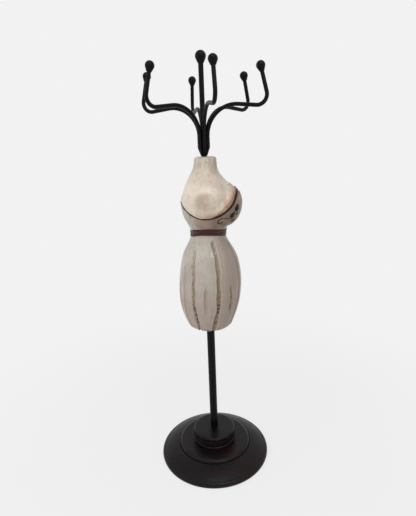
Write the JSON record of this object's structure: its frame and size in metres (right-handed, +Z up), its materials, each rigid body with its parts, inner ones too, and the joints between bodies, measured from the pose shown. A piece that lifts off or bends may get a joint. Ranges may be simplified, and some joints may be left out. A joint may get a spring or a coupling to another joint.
{
  "type": "jewellery stand",
  "caption": "Dress-form jewellery stand: a resin figure in a pleated dress on a rod over a turned round base, with a turning tree of ball-tipped wire hooks on its neck.",
  "frame": {"origin": "centre of the felt's underside, on the surface the stand rests on", "axes": "+Z up along the rod, +X the way the figure faces, +Y towards the figure's left side"},
  "size_m": [0.0982, 0.1006, 0.3478],
  "materials": {
    "stained_wood": "near-black stain under satin lacquer",
    "felt": "black felt",
    "black_enamel": "black enamel, semi-gloss",
    "zinc_steel": "zinc plated",
    "painted_resin": "ivory and taupe paint with a brown wash under gloss varnish",
    "maroon_band": "maroon, semi-matt",
    "bush_brass": "as turned"
  },
  "bodies": {
    "stand": {"base": "stained_wood", "felt_pad": "felt", "support_rod": "black_enamel", "rod_washer": "zinc_steel", "rod_nut": "zinc_steel"},
    "figure": {"dress_form": "painted_resin", "waist_belt": "maroon_band", "rod_bush": "bush_brass", "neck_bush": "bush_brass"},
    "hook_tree": {"centre_post": "black_enamel", "finial_ball": "black_enamel", "arm_1": "black_enamel", "arm_2": "black_enamel", "arm_3": "black_enamel", "arm_4": "black_enamel", "arm_5": "black_enamel", "arm_6": "black_enamel", "tip_1": "black_enamel", "tip_2": "black_enamel", "tip_3": "black_enamel", "tip_4": "black_enamel", "tip_5": "black_enamel", "tip_6": "black_enamel"}
  },
  "joints": [
    {"name": "figure_turn", "type": "hinge", "parent": "stand", "child": "figure", "pos_m": [0, 0, 0.1304], "axis": [0, 0, 1], "continuous": true},
    {"name": "hook_tree_turn", "type": "hinge", "parent": "figure", "child": "hook_tree", "pos_m": [0, 0, 0.2718], "axis": [0, 0, 1], "continuous": true}
  ]
}
